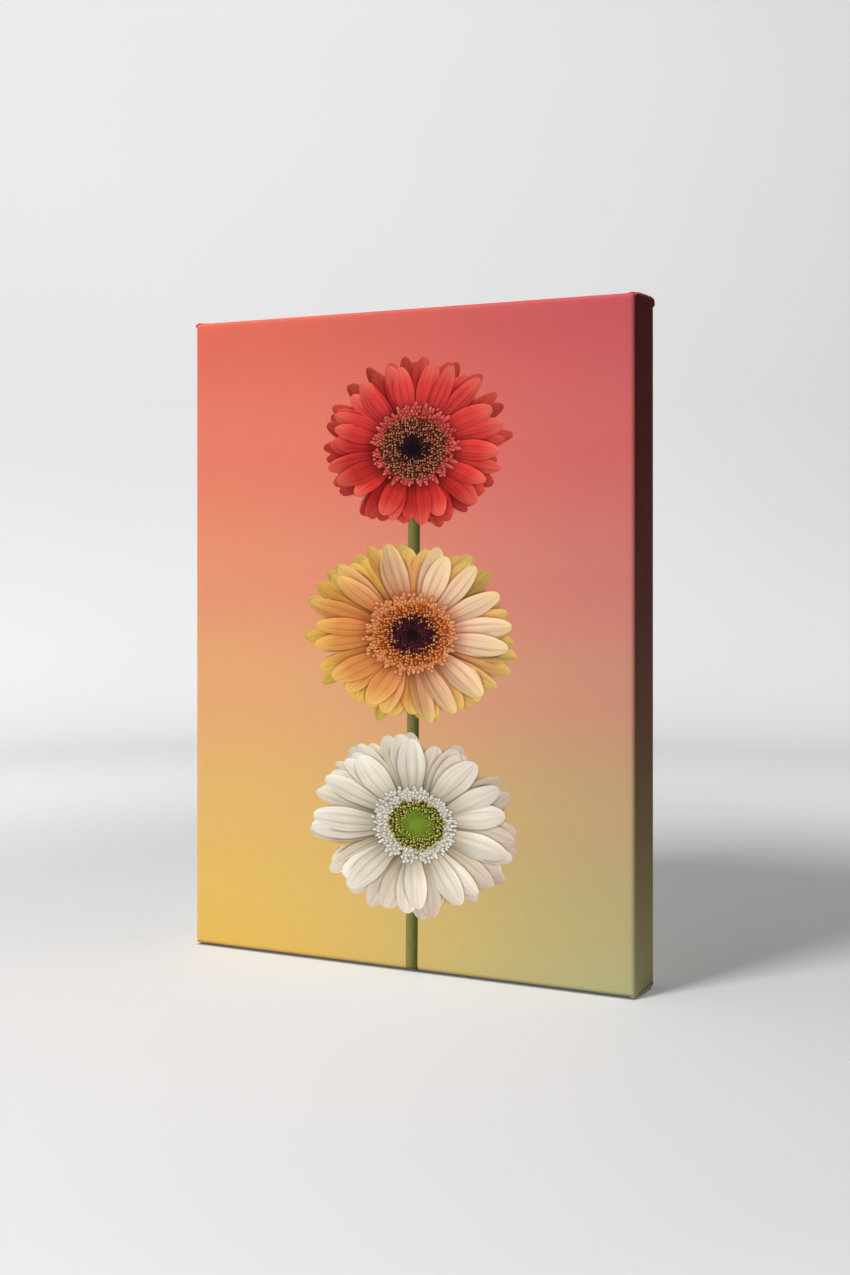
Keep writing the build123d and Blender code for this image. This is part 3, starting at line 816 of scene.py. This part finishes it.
def add_pleat(verts, add_face, side, end):
    """The corner's spare cloth, folded flat over the top or bottom edge and on over the back.

    t runs from the front over the edge and the back to the cut edge. s runs across from the fold to the
    lip on the side. Each point is pushed out from a box whose edges are rounded.
    """
    r = 0.0016  # the box's rounding
    start = 0.0012  # the front to the pleat's first row
    spans_t, spans_s = 46, 40
    edge_run = Y_BACK - Y_FRONT - start
    whole = edge_run + FLAP + 0.0006
    # on the side face the top pleat stands off a little and the bottom one is pressed flat
    side_stack, side_gap = (0.80, 0.00035) if end > 0 else (0.30, 0.00010)

    def centre_of(x, y, z):
        return (min(x, X_OUT - r), min(max(y, Y_FRONT + r), Y_BACK - r), min(z, Z_OUT - r))

    def fold_place(t):
        """Where the pleat's folded edge lies: slanting over the edge, then straight down the back."""
        slant = X_OUT - 0.0035 - PLEAT_SLANT * min(t, edge_run)
        return slant + 0.0004 * math.sin(t * 260 + side * 2 + end)

    def lip_place(t):
        over = smooth_step(t, edge_run - 0.0010, edge_run + 0.0022)
        drop = (0.0022 + 0.0032 * t / edge_run) if end > 0 else (0.0006 + 0.0026 * t / edge_run)
        return X_OUT + drop * (1 - over) - 0.0009 * over

    def height_at(w, lip_gap, t):
        """Thickness of the folded stack at w from its fold and lip_gap from its lip."""
        back = smooth_step(t, edge_run - 0.001, edge_run + 0.003)
        layer, over_edge, over_back = 0.00075, 0.00135, 0.00096
        full = over_edge * (1 - back) + over_back * back
        body = layer + (full - layer) * smooth_step(w, 0.004, 0.0145)
        body *= 0.30 + 0.70 * smooth_step(t, 0.0, 0.0075)
        crease = 0.000035 * math.sin(w * 700 + t * 120) * smooth_step(w, 0.002, 0.006) * (1 - back)
        return max((body + crease) * quarter_round(w, layer) * quarter_round(lip_gap, 0.0007), 0.0)

    outer, inner = [], []
    for j in range(spans_t + 1):
        t = whole * j / spans_t
        fold, lip = fold_place(t), lip_place(t)
        ragged = 0.0003 * math.sin(j * 2.3 + side)
        row_out, row_in = [], []
        for i in range(spans_s + 1):
            f = i / spans_s
            f = 0.5 - 0.5 * math.cos(math.pi * f) if lip - fold < 0.02 else f
            s = fold + (lip - fold) * f
            x, z = (s, Z_OUT) if s <= X_OUT else (X_OUT, Z_OUT - (s - X_OUT))
            y = Y_FRONT + start + t
            if y > Y_BACK:
                z = z - (y - Y_BACK)
                z += ragged * (j == spans_t)
                y = Y_BACK
            cx, cy, cz = centre_of(x, y, z)
            normal = Vector((x - cx, y - cy, z - cz))
            normal = normal.normalized() if normal.length > 1e-9 else Vector((0, 0, 1))
            h = height_at(s - fold, lip - s, t)
            overhang = 1.0 if normal.z > 0.9 or normal.y > 0.9 else side_stack
            loose = side_gap * smooth_step(s - X_OUT, 0.0004, 0.0018) * smooth_step(edge_run - t, 0.0, 0.003)
            base = Vector((cx, cy, cz))
            for row, out in ((row_out, r + h * overhang + loose + 0.00006), (row_in, r + loose - 0.00012)):
                place = base + normal * out
                row.append(len(verts))
                verts.append((place.x * side, place.y, place.z * end))
        outer.append(row_out)
        inner.append(row_in)

    block = (0.745 + (0.125 if side > 0 else 0.0), 0.006 + (0.060 if end > 0 else 0.0))

    def bake(j, i):
        return (block[0] + 0.118 * j / spans_t, block[1] + 0.052 * i / spans_s)

    def cloth(j, i):
        t = whole * j / spans_t
        s = X_OUT - 0.030 * (1 - i / spans_s)
        return (s * side, (Z_OUT + t + 0.001) * end)

    def quad(corners):
        """Adds a face from its corners, each one as (rows, j, i)."""
        if side * end > 0:
            corners = corners[::-1]
        add_face([rows[j][i] for rows, j, i in corners], [cloth(j, i) for _, j, i in corners],
                 [bake(j, i) for _, j, i in corners])

    def rim_quad(here, there, turned):
        """Adds a face between the two skins' rims."""
        corners = [(outer, *here), (outer, *there), (inner, *there), (inner, *here)]
        quad(corners[::-1] if turned else corners)

    for j in range(spans_t):
        for i in range(spans_s):
            around = [(j, i), (j, i + 1), (j + 1, i + 1), (j + 1, i)]
            quad([(outer, *place) for place in around])
            quad([(inner, *place) for place in around[::-1]])
    for j in range(spans_t):
        rim_quad((j, 0), (j + 1, 0), turned=False)
        rim_quad((j, spans_s), (j + 1, spans_s), turned=True)
    for i in range(spans_s):
        rim_quad((0, i), (0, i + 1), turned=True)
        rim_quad((spans_t, i), (spans_t, i + 1), turned=False)


def frayed_threads():
    """Loose thread ends along the cut edge on the back, as thin bent tubes."""
    verts, faces = [], []
    draw = random.Random(11)
    sides, joints = 4, 5
    for side in range(4):
        half, across, count = (Z_OUT, X_OUT, 70) if side % 2 else (X_OUT, Z_OUT, 52)
        reach = half - FLAP - 0.004
        for _ in range(count):
            at = draw.uniform(-reach, reach)
            length = draw.uniform(0.0010, 0.0034)
            lean, curl = draw.uniform(-0.9, 0.9), draw.uniform(-260.0, 260.0)
            radius = draw.uniform(0.00006, 0.00011)
            lift = draw.uniform(0.00002, 0.00022)
            edge = across - FLAP + 0.0010 + cut_wander(side, at / half)
            first = len(verts)
            for k in range(joints):
                run = length * k / (joints - 1)
                turn = lean + curl * run
                along = at + run * math.sin(turn)
                inward = edge - 0.0004 - run * math.cos(turn * 0.6)
                rise = Y_BACK - CLOTH * 0.5 + lift * math.sin(math.pi * k / (joints - 1))
                thin = radius * (1.0 - 0.5 * k / (joints - 1))
                for n in range(sides):
                    a = 2 * math.pi * n / sides
                    p, q = along + thin * math.cos(a), inward
                    y = rise + thin * math.sin(a)
                    x, z = {0: (p, -q), 1: (q, p), 2: (p, q), 3: (-q, p)}[side]
                    verts.append((x, y, z + Z_MID))
            for k in range(joints - 1):
                for n in range(sides):
                    m = (n + 1) % sides
                    low, high = first + k * sides, first + (k + 1) * sides
                    faces.append((low + n, low + m, high + m, high + n))
            faces.append(tuple(first + n for n in reversed(range(sides))))
            faces.append(tuple(first + (joints - 1) * sides + n for n in range(sides)))
    piece = placed("frayed_threads", smooth_mesh("frayed_threads", verts, faces))
    piece.data.materials.append(thread_material())
    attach(piece, ROOT)
    return piece


def make_cloth():
    piece = placed("canvas_cloth", sheet_mesh())
    for flower, name in enumerate(("print_upper", "print_middle", "print_lower")):
        piece.data.materials.append(print_material(name, flower))
    piece.data.materials.append(raw_canvas_material())
    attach(piece, ROOT)
    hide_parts("canvas_sheet")
    frayed_threads()
    return piece


# ---- Wood and metal ----

def pine_material(name, along, across, seed):
    """Planed pine, its grain along one axis. along and across are 0, 1, 2 for x, y, z."""
    material, g, shader = new_material(name, 0.4)
    place = g.object_place()
    run, wide, deep = place[along], place[across], place[3 - along - across]
    # long, slightly wandering growth rings seen on flat-sawn wood
    drift = noise(run * 3.5, wide * 10.0, seed, 1.0, 2.0) - 0.5
    rings = wide * 190.0 + deep * 120.0 + drift * 9.0 + seed
    late = g.math("FRACT", rings + noise(run * 9.0, wide * 40.0, seed, 1.0) * 0.5)
    band = smooth(late, 0.30, 0.93) * smooth(late, 1.0, 0.955)
    fibre = noise(run * 22.0, wide * 1500.0, deep * 1500.0, 1.0, 3.0, 0.6)
    pores = smooth(noise(run * 60.0, wide * 2600.0, deep * 2600.0, 1.0, 2.0), 0.60, 0.70)
    blotch = noise(run * 8.0, wide * 22.0, deep * 22.0, 1.0, 2.0)
    colour = g.mix(band * 0.55, linear(232, 204, 158), linear(196, 146, 90))
    colour = g.mix(fibre * 0.34, colour, linear(238, 214, 172))
    colour = g.mix(pores * 0.30, colour, linear(138, 96, 58))
    colour = g.scaled(colour, 0.86 + blotch * 0.22)
    height = fibre * 0.6 + band * 0.4 - pores * 0.5
    coat(g, shader, colour, 0.50 + fibre * 0.18 - band * 0.08, height, 0.00012, 0.5)
    return material


def beech_material():
    """Sawn hardwood for the keys, with short dark rays and faint saw marks."""
    material, g, shader = new_material("sawn_beech")
    x, y, z = g.object_place()
    fibre = noise(x * 380.0, y * 1500.0, z * 380.0, 1.0, 3.0, 0.6)
    rays = smooth(noise(x * 900.0, y * 3200.0, z * 900.0, 1.0, 1.0), 0.60, 0.72)
    saw = g.math("SINE", (x + z) * 5200.0 + fibre * 2.0) * 0.5 + 0.5
    blotch = noise(x * 40.0, y * 40.0, z * 40.0, 1.0, 2.0)
    colour = g.mix(fibre, linear(204, 164, 118), linear(226, 190, 146))
    colour = g.mix(rays * 0.35, colour, linear(158, 110, 72))
    colour = g.scaled(colour, 0.84 + blotch * 0.25 - saw * 0.05)
    coat(g, shader, colour, 0.58 + fibre * 0.2, saw * 0.5 + fibre * 0.7, 0.00003, 0.35)
    return material


def plated_material(name, light, dark, rough, scratch_scale):
    """Plated steel with fine scratches, a mottled bloom and duller patches."""
    material, g, shader = new_material(name)
    x, y, z = g.object_place()
    bloom = noise(x, y, z, 620.0, 3.0, 0.6)
    scratch = noise(x * scratch_scale, y * 600.0, z * 7000.0, 1.0, 2.0, 0.6)
    patch = noise(x, y, z, 150.0, 2.0)
    colour = g.mix(smooth(bloom * 0.6 + patch * 0.4, 0.38, 0.64), linear(*dark), linear(*light))
    shader.inputs["Metallic"].default_value = 1.0
    rough = rough + bloom * 0.14 + scratch * 0.10
    coat(g, shader, colour, rough, scratch * 0.5 + bloom * 0.4, 0.00002, 0.6)
    return material


def rubber_material():
    material, g, shader = new_material("bumper_rubber")
    x, y, z = g.object_place()
    grain = noise(x, y, z, 2400.0, 3.0, 0.6)
    dust = smooth(noise(x, y, z, 420.0, 3.0, 0.7), 0.50, 0.72)
    colour = g.mix(dust * 0.35, linear(38, 37, 36), linear(96, 92, 86))
    coat(g, shader, colour, 0.62 + grain * 0.2, grain, 0.00005, 0.5)
    return material


def give(start, material):
    """Puts a material on the CAD pieces whose names start so."""
    for name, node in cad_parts.items():
        if name.startswith(start):
            node.data.materials.clear()
            node.data.materials.append(material)


def dress_cad():
    for bar, along, across, seed in (("top", 0, 2, 3.7), ("bottom", 0, 2, 11.2),
                                     ("left", 2, 0, 5.9), ("right", 2, 0, 17.4)):
        give("stretcher_bar_" + bar, pine_material("pine_" + bar, along, across, seed))
    give("corner_key", beech_material())
    give("staples", plated_material("galvanised_wire", (206, 208, 210), (150, 153, 156), 0.28, 900.0))
    give(("hanger_strap", "hanger_ring"),
         plated_material("zinc_plate", (210, 210, 208), (178, 179, 178), 0.24, 1400.0))
    give("hanger_screw", plated_material("yellow_zinc", (220, 196, 128), (178, 150, 92), 0.26, 1400.0))
    give("wall_bumper", rubber_material())
    # a small bevel on the bars' sharp edges, so that they catch the light
    for name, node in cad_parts.items():
        if name.startswith("stretcher_bar"):
            bevel = node.modifiers.new("soft_edges", "BEVEL")
            bevel.width, bevel.segments = 0.00035, 2
            bevel.limit_method, bevel.angle_limit = "ANGLE", math.radians(40)


# ---- Stage, lights and camera ----

COVE = 0.55  # radius of the bend from the floor up to the backdrop


def stage_material():
    material, g, shader = new_material("pale_studio", 0.1)
    x, y, z = g.object_place()
    cloud = noise(x, y, z, 1.6, 2.0)
    colour = g.mix(cloud, linear(232, 232, 232), linear(238, 238, 238))
    # painted shade: the paper is darkened under the object and paler away from it, which tones down the key's
    # pool of light there and deepens the object's shadow, and darkened part way up the cove, which evens out
    # the brighter light that falls on it
    away = length(x, y)
    tilt = most(1.0 - z / COVE, 0.0)
    colour = g.scaled(colour, 0.69 + 0.31 * smooth(away, 0.40, 0.95) - tilt * (1.0 - tilt) * 0.45)
    # painted contact shadow: the paper is darkened where the object stands on it, as hardly any light reaches
    # it there
    gap = most(most(Y_FRONT - y, y - Y_BACK), abs(x) - X_OUT)
    colour = g.scaled(colour, 0.35 + 0.65 * smooth(gap, -0.0022, 0.0012))
    coat(g, shader, colour, 0.9)
    return material


def turned(name, profile):
    """A stage piece turned round the upright axis from (radius, height) points."""
    verts, faces = [], []
    steps = 128
    for radius, height in profile:
        for i in range(steps):
            a = 2 * math.pi * i / steps
            verts.append((radius * math.cos(a), radius * math.sin(a), height))
    for k in range(len(profile) - 1):
        for i in range(steps):
            n = (i + 1) % steps
            faces.append((k * steps + i, k * steps + n, (k + 1) * steps + n, (k + 1) * steps + i))
    made = placed(name, smooth_mesh(name, verts, faces))
    made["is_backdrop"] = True
    return made


def make_stage():
    material = stage_material()
    near, wall, height = 0.30, 1.75, 3.6
    floor = turned("studio_floor", [(0.0, 0.0), (near, 0.0)])
    profile = [(near, 0.0), (wall - COVE, 0.0)]
    for i in range(1, 17):
        a = QUARTER * i / 16
        profile.append((wall - COVE + COVE * math.sin(a), COVE - COVE * math.cos(a)))
    profile.append((wall, height))
    backdrop = turned("studio_backdrop", profile)
    for piece in (floor, backdrop):
        piece.data.materials.append(material)
    # the far backdrop lights nothing, so the shaded side of the object stays as dark as in a dim studio
    backdrop.visible_diffuse = backdrop.visible_shadow = False
    return floor, backdrop


def add_light(name, kind, power, direction, lit=None, blockers=None):
    """A lamp that shines along a direction, on the pieces in lit if they are given and else on everything."""
    data = bpy.data.lights.new(name, kind)
    data.energy = power
    light = placed(name, data)
    light.rotation_mode = "QUATERNION"
    light.rotation_quaternion = Vector(direction).to_track_quat("-Z", "Y")
    if lit:
        light.light_linking.receiver_collection = collected(name + "_lit", lit)
    if blockers:
        light.light_linking.blocker_collection = collected(name + "_blockers", blockers)
    return light


def softbox(name, place, target, size, power, lit=None):
    light = add_light(name, "AREA", power, Vector(target) - Vector(place), lit)
    light.data.shape, light.data.size = "SQUARE", size
    light.location = place
    light.visible_camera = False


def collected(name, pieces):
    made = bpy.data.collections.new(name)
    for piece in pieces:
        made.objects.link(piece)
    return made


def make_lights(stage):
    """Powers are in watts for the softboxes, and in watts a square metre for the two washes."""
    middle, key_place = (0.0, 0.0, 0.18), (-0.62, -1.66, 1.72)
    softbox("key", key_place, middle, size=0.62, power=52)
    softbox("floor_key", key_place, middle, size=0.95, power=7, lit=stage)
    softbox("fill", (-1.25, -0.9, 2.3), (-0.2, 0.2, 0.0), size=2.2, power=16)
    softbox("back_fill", (-1.0, 1.6, 1.0), (0, 0, 0.2), size=1.2, power=44, lit=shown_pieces())

    # even washes over the floor and the backdrop, in which the object casts no shadow
    add_light("wash", "SUN", 1.84, (-0.62, 0.50, -0.60), stage, stage).data.angle = 0.3
    add_light("back_wash", "SUN", 1.2, (0.70, -0.55, -0.03), stage, stage).data.angle = 0.3

    world = bpy.data.worlds.new("dim_room")
    world.use_nodes = True
    background = world.node_tree.nodes["Background"]
    background.inputs["Color"].default_value = (0.93, 0.96, 1.0, 1.0)
    background.inputs["Strength"].default_value = 0.02
    bpy.context.scene.world = world
    bpy.context.scene.view_settings.view_transform = "Standard"


def make_camera():
    """A level camera. Its place is in face heights from the foot of the face's middle."""
    azimuth = math.radians(27.09)
    to_right, to_object, up = 0.037, 2.568, 0.636
    right = Vector((math.cos(azimuth), math.sin(azimuth), 0))
    ahead = Vector((-math.sin(azimuth), math.cos(azimuth), 0))
    foot = Vector((0, Y_FRONT, Z_LOW))
    data = bpy.data.cameras.new("camera")
    data.sensor_fit = "AUTO"
    data.sensor_width, data.lens = 36.0, 47.82
    data.shift_y = -0.0695
    data.clip_start, data.clip_end = 0.05, 20
    camera = placed("camera", data)
    camera.location = foot + 2 * Z_OUT * (to_right * right - to_object * ahead + Vector((0, 0, up)))
    camera.rotation_mode = "QUATERNION"
    camera.rotation_quaternion = ahead.to_track_quat("-Z", "Y")
    bpy.context.scene.camera = camera


make_cloth()
dress_cad()
make_lights(make_stage())
make_camera()
